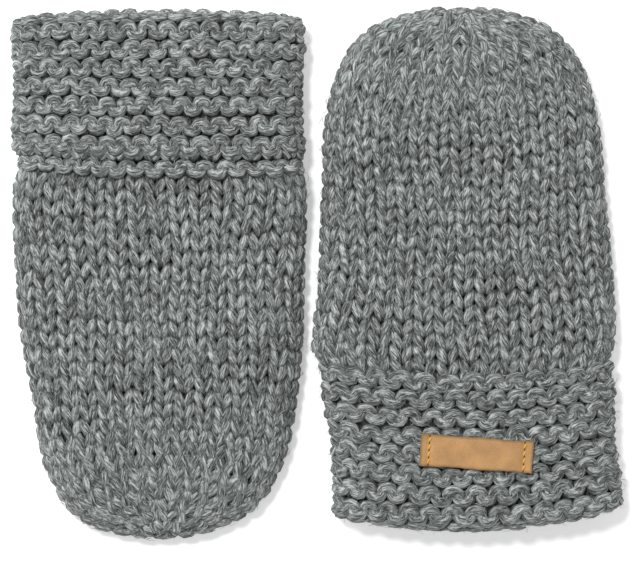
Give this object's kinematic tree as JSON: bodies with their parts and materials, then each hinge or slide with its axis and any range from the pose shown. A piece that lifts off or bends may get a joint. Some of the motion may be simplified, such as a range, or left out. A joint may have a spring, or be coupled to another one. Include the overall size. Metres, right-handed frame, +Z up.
{
  "type": "pair of knitted baby mittens",
  "caption": "Pair of thumbless baby mittens in thick grey knit, laid flat, with turned-up ribbed cuffs and a bare leather label.",
  "frame": {"origin": "centre of the pair's bounding box in plan, on the surface that the mittens lie on", "axes": "+X from the left mitten to the right one, +Y from the right mitten's mouth to its tip, +Z up from the surface"},
  "size_m": [0.164, 0.1422, 0.0174],
  "materials": {
    "grey_knit": "chunky heather grey wool knit, matt and slightly fuzzy",
    "tan_leather": "matt vegetable-tanned leather, bare"
  },
  "bodies": {
    "root": {"left_body": "grey_knit", "left_cuff": "grey_knit", "right_body": "grey_knit", "right_cuff": "grey_knit", "label": "tan_leather"}
  },
  "joints": []
}
